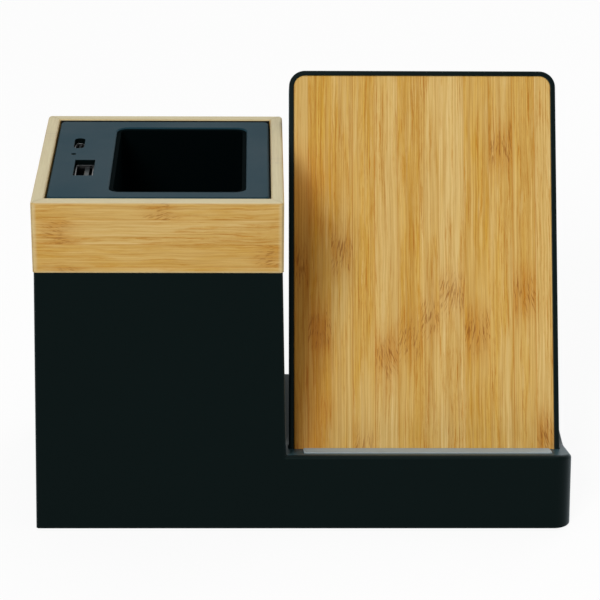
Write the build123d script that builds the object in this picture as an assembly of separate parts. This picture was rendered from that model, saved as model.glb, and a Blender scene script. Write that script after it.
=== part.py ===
from build123d import *
import math
import os

# Desk organizer: a pen holder with a bamboo collar beside a leaning wireless charging stand.
# Millimetres. X runs left to right, Y front to back, Z up from the desk.
# While the pieces are built, X = 0 and Y = 0 are the collar's left and front faces.

# Overall heights, from the housing's bottom rim
foot_proud = 0.8
tower_height = 112.4
lip_height = 26.0
deck_height = 16.6

# Bamboo collar
collar_width = 78.0
collar_depth = 80.0
collar_height = 23.3
collar_board = 4.0
collar_corner_round = 1.2
collar_edge_round = 0.9
collar_inner_chamfer = 0.4

# Moulded housing
draft_angle = 1.2
wall = 2.4
shell_inset = 0.3
tower_corner_round = 1.0
base_side_margin = 3.15
base_corner_radius = 5.5
slope_angle = 18.6
slope_blend_radius = 25.0
lip_round = 1.2
neck_wall = 2.0
collar_fit = 0.3
overrun = 1.0

# Bosses of the housing
boss_radius = 3.0
boss_roof = 1.2
boss_inset = 4.6
boss_web = 1.8

# Top panel
panel_thickness = 2.4
panel_recess = 0.3
panel_side_gap = 0.6
panel_end_gap = 1.2
panel_corner_radius = 1.8
panel_bevel = 0.4
post_radius = 2.9
post_length = 15.0
post_inset = 3.6
lug_thickness = 3.0
lug_reach = 8.2
hook_width = 9.0
hook_thickness = 1.4
hook_length = 9.0
hook_barb = 1.1
hook_barb_height = 2.0
hook_play = 0.3
hook_shares = (0.28, 0.72)

# Pen well and its liner, places from the collar's left and front faces
well_left = 23.5
well_front = 10.2
well_right_margin = 11.8
well_rear_margin = 11.4
well_corner_radius = 3.6
cup_cable_clearance = 11.6
cup_wall = 1.6
cup_lip = 1.2
cup_lip_play = 0.1
cup_lip_sunk = 0.4
cup_flange = 1.5
cup_floor_bevel = 1.6

# Screws: the larger kind for the mouldings, the smaller for the boards
screw_shank_radius = 1.25
screw_head_radius = 2.5
screw_head_height = 1.3
cover_screw_length = 5.6
lug_screw_length = 7.0
screw_bevel = 0.5
small_screw_shank_radius = 0.9
small_screw_head_radius = 1.7
small_screw_head_height = 1.1
small_screw_length = 4.6
shank_sides = 8
head_sides = 12
pilot_clearance = 0.05
hole_clearance = 0.35
pilot_extra_depth = 0.6

# Sockets in the top panel, places from the collar's left and front faces
usb_a_x = 14.7
usb_a_y = 31.3
usb_a_cutout_width = 6.4
usb_a_cutout_length = 14.0
usb_a_shell_width = 5.7
usb_a_shell_length = 13.2
usb_a_sheet = 0.3
usb_a_tongue_thickness = 1.5
usb_a_tongue_width = 11.1
usb_a_tongue_offset = 0.75
usb_a_base_height = 4.0
usb_a_contact_width = 1.0
usb_a_contact_thickness = 0.2
usb_a_contact_pitch = 2.3
usb_a_contact_count = 4
usb_c_x = 11.9
usb_c_y = 53.7
usb_c_cutout_width = 3.4
usb_c_cutout_length = 9.4
usb_c_shell_width = 3.2
usb_c_shell_length = 8.9
usb_c_sheet = 0.25
usb_c_tongue_thickness = 0.7
usb_c_tongue_width = 6.6
usb_c_base_width = 4.4
usb_c_base_length = 9.8
usb_c_base_height = 4.4
usb_c_contact_width = 0.25
usb_c_contact_thickness = 0.06
usb_c_contact_pitch = 0.5
usb_c_contact_count = 12
mouth_depth = 1.6
tongue_depth = 0.4
contact_margin = 0.8
led_x = 10.6
led_y = 43.6
led_hole_radius = 0.8
light_pipe_play = 0.05
led_height = 0.7
led_length = 1.6
led_width = 0.9
light_pipe_sunk = 0.3

# Hub board, hung under the top panel
hub_board_left = 7.2
hub_board_front = 13.8
hub_board_width = 13.6
hub_board_length = 52.0
hub_board_thickness = 1.2
hub_board_drop = 12.4
hub_post_radius = 2.2
hub_post_inset = 3.8
hub_post_x = 13.9
hub_chip_side = 4.0
hub_chip_height = 0.9
hub_coil_side = 4.0
hub_coil_height = 2.2
hub_part_margin = 0.6

# Phone stand: a leaning tray, measured along its own front face
stand_left = 80.2
stand_foot_y = 14.0
stand_foot_height = 21.3
stand_lean = 30.0
stand_width = 88.3
stand_length = 125.0
stand_thickness = 9.0
stand_corner_radius = 5.3
stand_rim = 1.5
stand_rim_bevel = 0.35
stand_root = 12.0
stand_root_floor = 3.0
stand_slot_play = 0.2
face_thickness = 2.0
face_recess = 0.2
face_play = 0.1
face_root = 3.0
face_bevel = 0.25
web_thickness = 1.6
stand_side_wall = 2.6
cover_sheet = 1.6
cover_play = 0.2
cover_root = 2.0
lug_width = 14.0
stand_lug_reach = 16.5
stand_lug_hole_inset = 4.2
stand_lug_shares = (0.2, 0.8)

# Coil stack behind the bamboo face
coil_height_on_stand = 62.0
coil_outer_radius = 22.0
coil_inner_radius = 10.0
coil_thickness = 1.3
coil_sides = 36
coil_seat_play = 0.3
coil_seat_wall = 1.0
ferrite_side = 50.0
ferrite_corner_radius = 3.0
ferrite_thickness = 0.8
stack_height = coil_thickness + ferrite_thickness
lead_radius = 0.6
wire_sides = 6
lead_spacing = 4.0
lead_play = 0.05
lead_root = 5.5
lead_bend = 5.0
lead_reach_on_board = 3.0

# Anti-slip strip in the trough
pad_left_margin = 4.6
pad_right_margin = 3.4
pad_front_margin = 5.6
pad_foot_gap = 0.25
pad_thickness = 1.0
pad_proud = 0.25
pad_play = 0.1
pad_corner_radius = 1.0

# Bottom cover and feet
cover_thickness = 2.5
cover_inset = 0.3
cover_gap = 0.25
cover_left_corner_radius = 0.8
counterbore_depth = 1.5
counterbore_radius = 3.0
foot_radius = 6.0
foot_seat = 0.8
foot_play = 0.1
foot_inset = 15.0

# Main board, on posts of the bottom cover
main_board_right_margin = 15.75
main_board_front = 38.0
main_board_width = 58.0
main_board_length = 37.0
main_board_thickness = 1.6
main_board_stand_off = 2.0
main_post_radius = 2.4
main_post_inset = 3.2
chip_height = 0.9
chip_lengths = (7.0, 5.0, 4.0)
chip_x_shares = (0.34, 0.56, 0.76)
chip_y_share = 0.45
inductor_side = 7.0
inductor_height = 3.6
inductor_corner_radius = 1.0
inductor_x_share = 0.82
inductor_y_share = 0.72
capacitor_width = 3.2
capacitor_length = 5.0
capacitor_height = 2.4
capacitor_pitch = 4.6
capacitor_count = 4
capacitor_x_share = 0.38
capacitor_y_share = 0.26

# Power inlet at the back of the base
inlet_x_share = 0.5
inlet_shell_length = 7.3
inlet_shell_sunk = 0.8
inlet_base_length = 1.2
inlet_cutout_play = 0.4

# Cable from the main board to the hub board
cable_radius = 1.5
cable_bend = 11.0
cable_y = 47.2
plug_width = 6.0
plug_length = 8.0
plug_height = 4.8

# Heights above the desk
rim_z = foot_proud
collar_top_z = rim_z + tower_height
shoulder_z = collar_top_z - collar_height
lip_z = rim_z + lip_height
deck_z = rim_z + deck_height
panel_top_z = collar_top_z - panel_recess
panel_under_z = panel_top_z - panel_thickness
mouth_z = panel_top_z - mouth_depth
hub_board_top_z = panel_under_z - hub_board_drop
hub_board_under_z = hub_board_top_z - hub_board_thickness
post_foot_z = panel_under_z - post_length
cover_under_z = rim_z + cover_inset
cover_top_z = cover_under_z + cover_thickness
main_board_under_z = cover_top_z + main_board_stand_off
main_board_top_z = main_board_under_z + main_board_thickness
cable_run_z = main_board_top_z + plug_height / 2
well_width = collar_width - well_left - well_right_margin
well_depth = collar_depth - well_front - well_rear_margin
well_inset = cup_lip + cup_lip_play
cup_floor_z = cable_run_z + cable_radius + cup_cable_clearance + cup_wall

main_board_left = stand_left + stand_width + base_side_margin - main_board_right_margin - main_board_width

cover_screw_depth = cover_screw_length - cover_thickness + counterbore_depth
boss_height = cover_screw_depth + pilot_extra_depth + boss_roof
lug_screw_depth = lug_screw_length - lug_thickness
main_screw_depth = small_screw_length - main_board_thickness
hub_screw_depth = small_screw_length - hub_board_thickness

pilot_radius = screw_shank_radius + pilot_clearance
clear_radius = screw_shank_radius + hole_clearance
small_pilot_radius = small_screw_shank_radius + pilot_clearance
small_clear_radius = small_screw_shank_radius + hole_clearance


def draft_lean(height):
    return height * math.tan(math.radians(draft_angle))


def left_x(z):
    return shell_inset - draft_lean(shoulder_z - z)


def tower_right_x(z):
    return collar_width - left_x(z)


def base_right_x(z):
    return stand_left + stand_width + base_side_margin - draft_lean(z - rim_z)


def front_y(z):
    return shell_inset - draft_lean(shoulder_z - z)


def rear_y(z):
    return collar_depth - front_y(z)


def slope_z(y, drop=0):
    # Height of the trough's slope, before it blends into the deck
    return lip_z - drop - (y - front_y(lip_z)) * math.tan(math.radians(slope_angle))


def block(x0, x1, y0, y1, z0, z1):
    return Pos((x0 + x1) / 2, (y0 + y1) / 2, (z0 + z1) / 2) * Box(x1 - x0, y1 - y0, z1 - z0)


def post(x, y, z0, z1, radius):
    return Pos(x, y, (z0 + z1) / 2) * Cylinder(radius, z1 - z0)


def leaning_block(x0, x1, y0, y1, z0, z1):
    # Limits hold at z0; every side leans in by the draft towards z1
    outline = Pos((x0 + x1) / 2, (y0 + y1) / 2, z0) * Rectangle(x1 - x0, y1 - y0)
    return extrude(outline, z1 - z0, taper=draft_angle)


def upright_edges(solid):
    # The four edges that run from bottom to top
    return [edge for edge in solid.edges() if edge.bounding_box().size.Z > edge.length / 2]


def flat_sided(x, y, z0, z1, radius):
    # Shanks and their pilot holes have flat sides in place of a thread
    return Pos(x, y, z0) * extrude(RegularPolygon(radius, shank_sides), z1 - z0)


def screw(shank_radius, head_radius, head_height, length):
    # Head below Z = 0, shank above it
    head = Pos(0, 0, -head_height) * extrude(RegularPolygon(head_radius, head_sides), head_height)
    return head + flat_sided(0, 0, 0, length, shank_radius)


def lug_screw():
    return screw(screw_shank_radius, screw_head_radius, screw_head_height, lug_screw_length)


def board_screw():
    return screw(small_screw_shank_radius, small_screw_head_radius, small_screw_head_height,
                 small_screw_length)


def cover_screw():
    # Seen from below, so its head is round
    head = post(0, 0, -screw_head_height, 0, screw_head_radius)
    head = chamfer(head.faces().sort_by(Axis.Z)[0].edges(), screw_bevel)
    return head + flat_sided(0, 0, 0, cover_screw_length, screw_shank_radius)


def group(solids):
    return Compound(children=[item.solid() for item in solids])


# Places shared by pieces that are screwed together
def cover_screw_places():
    x_low = left_x(rim_z) + wall + boss_inset
    x_high = base_right_x(rim_z) - wall - boss_inset
    y_low = front_y(rim_z) + wall + boss_inset
    y_high = rear_y(rim_z) - wall - boss_inset
    return [(x, y) for x in (x_low, x_high) for y in (y_low, y_high)]


def panel_post_places():
    x = collar_board + collar_fit + neck_wall + post_inset
    y_low = collar_board + collar_fit + neck_wall + post_inset
    return [(x, y_low), (x, collar_depth - y_low)]


def hub_post_places():
    y_low = hub_board_front + hub_post_inset
    y_high = hub_board_front + hub_board_length - hub_post_inset
    return [(hub_post_x, y_low), (hub_post_x, y_high)]


def stand_plane():
    # Local X to the right, local Y up the stand, local Z out of its front face
    lean = math.radians(stand_lean)
    return Plane(origin=(stand_left, stand_foot_y, rim_z + stand_foot_height), x_dir=(1, 0, 0),
                 z_dir=(0, -math.cos(lean), math.sin(lean)))


def stand_lug_places():
    return [stand_left + stand_width * share for share in stand_lug_shares]


def stand_root_rear():
    # Lowest rear corner of the stand's root, as Y and Z
    corner = stand_plane().from_local_coords((0, -stand_root, -stand_thickness))
    return corner.Y, corner.Z


def main_post_places():
    x_low = main_board_left + main_post_inset
    x_high = main_board_left + main_board_width - main_post_inset
    y = main_board_front + main_board_length / 2
    return [(x_low, y), (x_high, y)]


def foot_places():
    x_low = left_x(rim_z) + foot_inset
    x_high = base_right_x(rim_z) - foot_inset
    y_low = front_y(rim_z) + foot_inset
    y_high = rear_y(rim_z) - foot_inset
    return [(x, y) for x in (x_low, x_high) for y in (y_low, y_high)]


def hook_places():
    y_low = collar_board + collar_fit + neck_wall
    span = collar_depth - 2 * y_low
    return [y_low + span * share for share in hook_shares]


def inlet_place():
    # Middle of the inlet's mouth, level with the rear wall's inner face and a little into it
    x = main_board_left + main_board_width * inlet_x_share
    z = main_board_top_z + usb_c_shell_width / 2
    return x, rear_y(z) - wall + inlet_shell_sunk, z


# The moulded housing
def over_the_slope(drop):
    # What lies above the slope, its blend and the deck, each lowered by drop
    y_start = front_y(lip_z) - overrun
    y_end = rear_y(rim_z) + overrun
    y_deck = front_y(lip_z) + (lip_z - deck_z) / math.tan(math.radians(slope_angle))
    z_top = slope_z(y_start) + overrun
    corners = [(y_start, slope_z(y_start, drop)), (y_deck, deck_z - drop), (y_end, deck_z - drop),
               (y_end, z_top), (y_start, z_top)]
    profile = make_face(Polyline(*corners, corners[0]))
    bend = profile.vertices().sort_by_distance((y_deck, deck_z - drop, 0))[0]
    profile = fillet(bend, slope_blend_radius)
    return extrude(Plane.YZ * profile, base_right_x(rim_z) + overrun)


def base_form(inset, drop):
    z_top = slope_z(front_y(lip_z) - overrun)
    form = leaning_block(collar_width / 2, base_right_x(rim_z) - inset, front_y(rim_z) + inset,
                         rear_y(rim_z) - inset, rim_z, z_top)
    corners = [edge for edge in upright_edges(form) if edge.center().X > tower_right_x(rim_z)]
    form = fillet(corners, base_corner_radius - inset)
    return form - over_the_slope(drop)


def rounded_base():
    # The base's outside, with its top edges softened all round
    form = base_form(0, 0)
    margin = base_corner_radius / 2
    rim = []
    for edge in form.edges():
        middle = edge.center()
        outside = (middle.X > base_right_x(lip_z) - margin or middle.Y < front_y(lip_z) + margin
                   or middle.Y > rear_y(lip_z) - margin)
        if middle.Z > deck_z - lip_round and middle.X > collar_width and outside:
            rim.append(edge)
    return fillet(rim, lip_round)


def tower_form():
    form = leaning_block(left_x(rim_z), tower_right_x(rim_z), front_y(rim_z), rear_y(rim_z),
                         rim_z, shoulder_z)
    return fillet(upright_edges(form), tower_corner_round)


def neck_form(inset):
    reach = collar_board + collar_fit + inset
    return block(reach, collar_width - reach, reach, collar_depth - reach,
                 shoulder_z - wall - inset, panel_under_z)


def housing_cavity():
    tower = leaning_block(left_x(rim_z) + wall, tower_right_x(rim_z) - wall, front_y(rim_z) + wall,
                          rear_y(rim_z) - wall, rim_z, shoulder_z - wall)
    neck = neck_form(neck_wall)
    return tower + base_form(wall, wall) + neck


def boss_webs(x, y):
    # A cover boss with webs to the side walls near it
    z_low = cover_top_z
    z_high = cover_top_z + boss_height
    middle_y = collar_depth / 2
    y_wall = front_y(rim_z) if y < middle_y else rear_y(rim_z)
    y_low, y_high = sorted((y, y_wall))
    body = post(x, y, z_low, z_high, boss_radius)
    body += block(x - boss_web / 2, x + boss_web / 2, y_low, y_high, z_low, z_high)
    for x_wall in (left_x(rim_z), base_right_x(rim_z)):
        if abs(x - x_wall) < wall + 2 * boss_inset:
            x_low, x_high = sorted((x, x_wall))
            body += block(x_low, x_high, y - boss_web / 2, y + boss_web / 2, z_low, z_high)
    return body


def stand_boss_place():
    rear_edge, lug_under = stand_root_rear()
    return rear_edge + stand_lug_reach - stand_lug_hole_inset, lug_under + lug_thickness


def housing_bosses():
    bosses = [boss_webs(x, y) for x, y in cover_screw_places()]
    boss_y, boss_z = stand_boss_place()
    bosses += [post(x, boss_y, boss_z, lip_z, boss_radius) for x in stand_lug_places()]
    inner = collar_board + collar_fit
    reach = inner + neck_wall + lug_reach
    for y_low, y_high in ((inner, reach), (collar_depth - reach, collar_depth - inner)):
        bosses.append(block(inner, reach, y_low, y_high, post_foot_z - lug_thickness, post_foot_z))
    return bosses


def housing_holes():
    holes = []
    for x, y in cover_screw_places():
        holes.append(flat_sided(x, y, cover_top_z - overrun, cover_top_z + boss_height - boss_roof,
                                pilot_radius))
    boss_y, boss_z = stand_boss_place()
    for x in stand_lug_places():
        holes.append(flat_sided(x, boss_y, boss_z - overrun,
                                boss_z + lug_screw_depth + pilot_extra_depth, pilot_radius))
    for x, y in panel_post_places():
        holes.append(post(x, y, post_foot_z - lug_thickness - overrun, post_foot_z + overrun,
                          clear_radius))
    return holes


def hook_windows():
    x = collar_width - collar_board - collar_fit - neck_wall
    z_barb = panel_under_z - hook_length
    windows = []
    for y in hook_places():
        reach = hook_width / 2 + hook_play
        windows.append(block(x - overrun, x + neck_wall + overrun, y - reach, y + reach,
                             z_barb - hook_play, z_barb + hook_barb_height + hook_play))
    return windows


def stand_slot():
    play = stand_slot_play
    slot = block(-play, stand_width + play, -stand_root - play, lip_height,
                 -stand_thickness - play, play)
    return stand_plane() * slot


def slope_plane():
    lean = math.radians(slope_angle)
    return Plane(origin=(0, front_y(lip_z), lip_z), x_dir=(1, 0, 0),
                 z_dir=(0, math.sin(lean), math.cos(lean)))


def pad_outline(play):
    # The strip's place on the slope, which ends just short of the stand's foot
    foot_run = (stand_foot_y - front_y(lip_z)) / math.cos(math.radians(slope_angle))
    x_low = stand_left + pad_left_margin - play
    x_high = stand_left + stand_width - pad_right_margin + play
    y_low = pad_front_margin - play
    y_high = foot_run - pad_foot_gap + play
    sketch = RectangleRounded(x_high - x_low, y_high - y_low, pad_corner_radius + play)
    return Pos((x_low + x_high) / 2, (y_low + y_high) / 2) * sketch


def inlet_cutout():
    x, y, z = inlet_place()
    play = inlet_cutout_play
    outline = SlotOverall(usb_c_shell_length + 2 * play, usb_c_shell_width + 2 * play)
    return Pos(x, y, z) * (Rot(90, 0, 0) * extrude(outline, 2 * wall, both=True))


def main_housing():
    body = tower_form() + rounded_base() + neck_form(0)
    cavity = housing_cavity()
    for boss in housing_bosses():
        cavity -= boss
    body -= cavity
    for hole in housing_holes() + hook_windows():
        body -= hole
    body -= stand_slot()
    body -= slope_plane() * Pos(0, 0, pad_proud - pad_thickness) * extrude(
        pad_outline(pad_play), pad_thickness)
    return body - inlet_cutout()


# Bamboo collar, four boards mitred at the corners
def collar_ring():
    z_low = shoulder_z
    ring = block(0, collar_width, 0, collar_depth, z_low, collar_top_z)
    ring = fillet(upright_edges(ring), collar_corner_round)
    ring = fillet(ring.faces().sort_by(Axis.Z)[-1].edges(), collar_edge_round)
    inside = block(collar_board, collar_width - collar_board, collar_board,
                   collar_depth - collar_board, z_low - overrun, collar_top_z + overrun)
    ring -= inside
    top = ring.faces().sort_by(Axis.Z)[-1]
    return chamfer(top.inner_wires()[0].edges(), collar_inner_chamfer)


def mitre_wedge(side):
    # Plan outline of one side's share of the ring, with both ends on the corner diagonals
    reach = collar_board + overrun
    far_x = collar_width - reach
    far_y = collar_depth - reach
    out_x = collar_width + overrun
    out_y = collar_depth + overrun
    outer = ((-overrun, -overrun), (out_x, -overrun), (out_x, out_y), (-overrun, out_y))
    inner = ((reach, reach), (far_x, reach), (far_x, far_y), (reach, far_y))
    after = (side + 1) % len(outer)
    corners = (outer[side], outer[after], inner[after], inner[side], outer[side])
    outline = make_face(Polyline(*corners))
    return Pos(0, 0, shoulder_z - overrun) * extrude(outline, collar_height + 2 * overrun)


def collar_boards():
    ring = collar_ring()
    names = ("collar_front", "collar_right", "collar_back", "collar_left")
    return {name: ring & mitre_wedge(side) for side, name in enumerate(names)}


# Top panel
def well_form(grow, z_low, z_high):
    outline = RectangleRounded(well_width + 2 * grow, well_depth + 2 * grow,
                               well_corner_radius + grow)
    place = Pos(well_left + well_width / 2, well_front + well_depth / 2, z_low)
    return place * extrude(outline, z_high - z_low)


def panel_hook(y):
    x_wall = collar_width - collar_board - collar_fit - neck_wall
    x_out = x_wall - hook_play / 2
    z_foot = panel_under_z - hook_length
    arm = block(x_out - hook_thickness, x_out, y - hook_width / 2, y + hook_width / 2,
                z_foot, panel_under_z)
    barb = make_face(Polyline((x_out, z_foot), (x_out + hook_barb, z_foot + hook_barb_height),
                              (x_out, z_foot + hook_barb_height), (x_out, z_foot)))
    barb = extrude(Plane.XZ * barb, hook_width / 2, both=True)
    return arm + Pos(0, y, 0) * barb


def top_panel():
    width = collar_width - 2 * (collar_board + panel_side_gap)
    depth = collar_depth - 2 * (collar_board + panel_end_gap)
    outline = RectangleRounded(width, depth, panel_corner_radius)
    panel = Pos(collar_width / 2, collar_depth / 2, panel_under_z) * extrude(outline, panel_thickness)
    panel -= well_form(0, panel_under_z - overrun, panel_top_z + overrun)
    panel = chamfer(panel.faces().sort_by(Axis.Z)[-1].edges(), panel_bevel)
    cut = panel_thickness + overrun
    usb_a = Rectangle(usb_a_cutout_width, usb_a_cutout_length)
    usb_c = Rot(0, 0, 90) * SlotOverall(usb_c_cutout_length, usb_c_cutout_width)
    panel -= Pos(usb_a_x, usb_a_y, panel_top_z) * extrude(usb_a, cut, both=True)
    panel -= Pos(usb_c_x, usb_c_y, panel_top_z) * extrude(usb_c, cut, both=True)
    panel -= Pos(led_x, led_y, panel_top_z) * Cylinder(led_hole_radius, 2 * cut)
    for x, y in panel_post_places():
        pillar = post(x, y, post_foot_z, panel_under_z, post_radius)
        depth = lug_screw_depth + pilot_extra_depth
        panel += pillar - flat_sided(x, y, post_foot_z, post_foot_z + depth, pilot_radius)
    for x, y in hub_post_places():
        pillar = post(x, y, hub_board_top_z, panel_under_z, hub_post_radius)
        depth = hub_screw_depth + pilot_extra_depth
        panel += pillar - flat_sided(x, y, hub_board_top_z, hub_board_top_z + depth,
                                     small_pilot_radius)
    for y in hook_places():
        panel += panel_hook(y)
    return panel


def pen_cup():
    # The liner hangs by its flange, bonded under the panel, and its lip lines the panel's opening
    outside = cup_wall - well_inset
    body = well_form(outside, cup_floor_z - cup_wall, panel_under_z)
    body += well_form(outside + cup_flange, panel_under_z - cup_wall, panel_under_z)
    body += well_form(-cup_lip_play, panel_under_z - overrun, panel_top_z - cup_lip_sunk)
    inside = well_form(-well_inset, cup_floor_z, panel_top_z + overrun)
    inside = chamfer(inside.faces().sort_by(Axis.Z)[0].edges(), cup_floor_bevel)
    return body - inside


# Sockets and the hub board
def usb_a_shell():
    height = mouth_z - hub_board_top_z
    outline = Rectangle(usb_a_shell_width, usb_a_shell_length)
    outline -= Rectangle(usb_a_shell_width - 2 * usb_a_sheet, usb_a_shell_length - 2 * usb_a_sheet)
    return Pos(usb_a_x, usb_a_y, hub_board_top_z) * extrude(outline, height)


def usb_a_tongue():
    width = usb_a_shell_width - 2 * usb_a_sheet
    length = usb_a_shell_length - 2 * usb_a_sheet
    base = Pos(usb_a_x, usb_a_y, hub_board_top_z) * extrude(Rectangle(width, length), usb_a_base_height)
    height = mouth_z - tongue_depth - hub_board_top_z
    blade = Rectangle(usb_a_tongue_thickness, usb_a_tongue_width)
    blade = Pos(usb_a_x + usb_a_tongue_offset, usb_a_y, hub_board_top_z) * extrude(blade, height)
    return base + blade


def usb_a_contacts():
    x_high = usb_a_x + usb_a_tongue_offset - usb_a_tongue_thickness / 2
    z_low = hub_board_top_z + usb_a_base_height
    z_high = mouth_z - tongue_depth - contact_margin
    first = usb_a_y - usb_a_contact_pitch * (usb_a_contact_count - 1) / 2
    strips = []
    for i in range(usb_a_contact_count):
        y = first + i * usb_a_contact_pitch
        strips.append(block(x_high - usb_a_contact_thickness, x_high, y - usb_a_contact_width / 2,
                            y + usb_a_contact_width / 2, z_low, z_high))
    return group(strips)


def slot_tube(length, width, sheet, height):
    outline = SlotOverall(length, width) - SlotOverall(length - 2 * sheet, width - 2 * sheet)
    return extrude(outline, height)


def usb_c_shell():
    z_low = hub_board_top_z + usb_c_base_height
    tube = slot_tube(usb_c_shell_length, usb_c_shell_width, usb_c_sheet, mouth_z - z_low)
    return Pos(usb_c_x, usb_c_y, z_low) * (Rot(0, 0, 90) * tube)


def usb_c_tongue():
    base = extrude(Rectangle(usb_c_base_width, usb_c_base_length), usb_c_base_height)
    height = mouth_z - tongue_depth - hub_board_top_z
    blade = extrude(Rectangle(usb_c_tongue_thickness, usb_c_tongue_width), height)
    return Pos(usb_c_x, usb_c_y, hub_board_top_z) * (base + blade)


def usb_c_contacts():
    z_low = hub_board_top_z + usb_c_base_height
    z_high = mouth_z - tongue_depth - contact_margin
    first = usb_c_y - usb_c_contact_pitch * (usb_c_contact_count - 1) / 2
    strips = []
    for side in (-1, 1):
        x_face = usb_c_x + side * usb_c_tongue_thickness / 2
        x_low, x_high = sorted((x_face, x_face + side * usb_c_contact_thickness))
        for i in range(usb_c_contact_count):
            y = first + i * usb_c_contact_pitch
            strips.append(block(x_low, x_high, y - usb_c_contact_width / 2,
                                y + usb_c_contact_width / 2, z_low, z_high))
    return group(strips)


def hub_board():
    board = block(hub_board_left, hub_board_left + hub_board_width, hub_board_front,
                  hub_board_front + hub_board_length, hub_board_under_z, hub_board_top_z)
    for x, y in hub_post_places():
        board -= post(x, y, hub_board_under_z - overrun, hub_board_top_z + overrun, small_clear_radius)
    return board


def hub_chips():
    # A charge controller and its choke, right of the light and the USB-C socket
    x_high = hub_board_left + hub_board_width - hub_part_margin
    chip = block(x_high - hub_chip_side, x_high, led_y - hub_chip_side / 2, led_y + hub_chip_side / 2,
                 hub_board_top_z, hub_board_top_z + hub_chip_height)
    choke = block(x_high - hub_coil_side, x_high, usb_c_y - hub_coil_side / 2,
                  usb_c_y + hub_coil_side / 2, hub_board_top_z, hub_board_top_z + hub_coil_height)
    return group([chip, choke])


def status_led():
    return block(led_x - led_length / 2, led_x + led_length / 2, led_y - led_width / 2,
                 led_y + led_width / 2, hub_board_top_z, hub_board_top_z + led_height)


def light_pipe():
    # Stands on the light and fills the panel's small hole
    return post(led_x, led_y, hub_board_top_z + led_height, panel_top_z - light_pipe_sunk,
                led_hole_radius - light_pipe_play)


# Phone stand
def tray_outline(inset, low):
    # The stand's plan on its own plane: square at the root, rounded at the top
    x_low = inset
    x_high = stand_width - inset
    y_high = stand_length - inset
    radius = stand_corner_radius - inset
    outline = make_face(Polyline((x_low, low), (x_high, low), (x_high, y_high), (x_low, y_high),
                                 (x_low, low)))
    return fillet(outline.vertices().sort_by(Axis.Y)[-2:], radius)


def web_rear():
    return face_recess + face_thickness + web_thickness


def coil_seat():
    # Four low walls on the web that hold the coil stack, with a gap for the leads
    inner = ferrite_side + 2 * coil_seat_play
    outer = inner + 2 * coil_seat_wall
    walls = Rectangle(outer, outer) - Rectangle(inner, inner)
    walls -= Pos(0, -inner / 2) * Rectangle(2 * lead_spacing, 2 * coil_seat_wall + overrun)
    return extrude(walls, stack_height)


def stand_frame():
    tray = Pos(0, 0, -stand_thickness) * extrude(tray_outline(0, -stand_root), stand_thickness)
    front_edges = tray.faces().sort_by(Axis.Z)[-1].edges()
    rim_edges = [edge for edge in front_edges if edge.center().Y > -stand_root + overrun]
    tray = chamfer(rim_edges, stand_rim_bevel)
    face_seat = face_recess + face_thickness
    tray -= Pos(0, 0, -face_seat) * extrude(tray_outline(stand_rim, -face_root), face_seat)
    room = stand_thickness - web_rear()
    tray -= Pos(0, 0, -stand_thickness) * extrude(
        tray_outline(stand_side_wall, stand_root_floor - stand_root), room)
    tray -= Pos(0, 0, -stand_thickness) * extrude(
        tray_outline(stand_rim, -cover_root - cover_play), cover_sheet)
    tray += Pos(stand_width / 2, coil_height_on_stand, -web_rear() - stack_height) * coil_seat()
    tray = stand_plane() * tray
    return tray + stand_lugs()


def stand_lugs():
    # Level tabs behind the root, under the housing's bosses
    y_rear, z_low = stand_root_rear()
    boss_y, z_high = stand_boss_place()
    y_high = y_rear + stand_lug_reach
    y_low = y_rear - stand_root_floor / 2
    lugs = None
    for x in stand_lug_places():
        lug = block(x - lug_width / 2, x + lug_width / 2, y_low, y_high, z_low, z_high)
        lug -= post(x, boss_y, z_low - overrun, z_high + overrun, clear_radius)
        lugs = lug if lugs is None else lugs + lug
    return lugs


def bamboo_face():
    board = Pos(0, 0, -face_recess - face_thickness) * extrude(
        tray_outline(stand_rim + face_play, face_play - face_root), face_thickness)
    front_edges = board.faces().sort_by(Axis.Z)[-1].edges()
    return stand_plane() * chamfer(front_edges, face_bevel)


def stand_rear_cover():
    sheet = extrude(tray_outline(stand_rim + cover_play, -cover_root), cover_sheet)
    return stand_plane() * Pos(0, 0, -stand_thickness) * sheet


def coil_place(depth):
    return stand_plane() * Pos(stand_width / 2, coil_height_on_stand, -depth)


def charging_coil():
    ring = RegularPolygon(coil_outer_radius, coil_sides)
    ring -= RegularPolygon(coil_inner_radius, coil_sides)
    return coil_place(web_rear() + coil_thickness) * extrude(ring, coil_thickness)


def ferrite_sheet():
    sheet = extrude(RectangleRounded(ferrite_side, ferrite_side, ferrite_corner_radius),
                    ferrite_thickness)
    return coil_place(web_rear() + coil_thickness + ferrite_thickness) * sheet


def stand_screws():
    lug_under = stand_root_rear()[1]
    boss_y = stand_boss_place()[0]
    return group([Pos(x, boss_y, lug_under) * lug_screw()
                  for x in stand_lug_places()])


def tube_along(points, bend, radius):
    path = FilletPolyline(*points, radius=bend)
    start = Plane(origin=path @ 0, z_dir=path % 0)
    return sweep(start * RegularPolygon(radius, wire_sides), path)


def coil_leads():
    # Down the tray from the coil, out of the open root and onto the main board's front edge
    leads = []
    depth = web_rear() + lead_radius + lead_play
    y_top = coil_height_on_stand - coil_outer_radius - lead_play
    z_end = main_board_top_z + lead_radius + lead_play
    edge_y = main_board_front + lead_radius
    for side in (-1, 1):
        x = stand_width / 2 + side * lead_spacing / 2
        top = stand_plane().from_local_coords((x, y_top, -depth))
        root = stand_plane().from_local_coords((x, -lead_root, -depth))
        points = [top, root, Vector(root.X, edge_y, z_end),
                  Vector(root.X, edge_y + lead_reach_on_board, z_end)]
        leads.append(tube_along(points, lead_bend, lead_radius))
    return group(leads)


def ledge_pad():
    strip = extrude(pad_outline(0), pad_thickness)
    return slope_plane() * Pos(0, 0, pad_proud - pad_thickness) * strip


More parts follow.
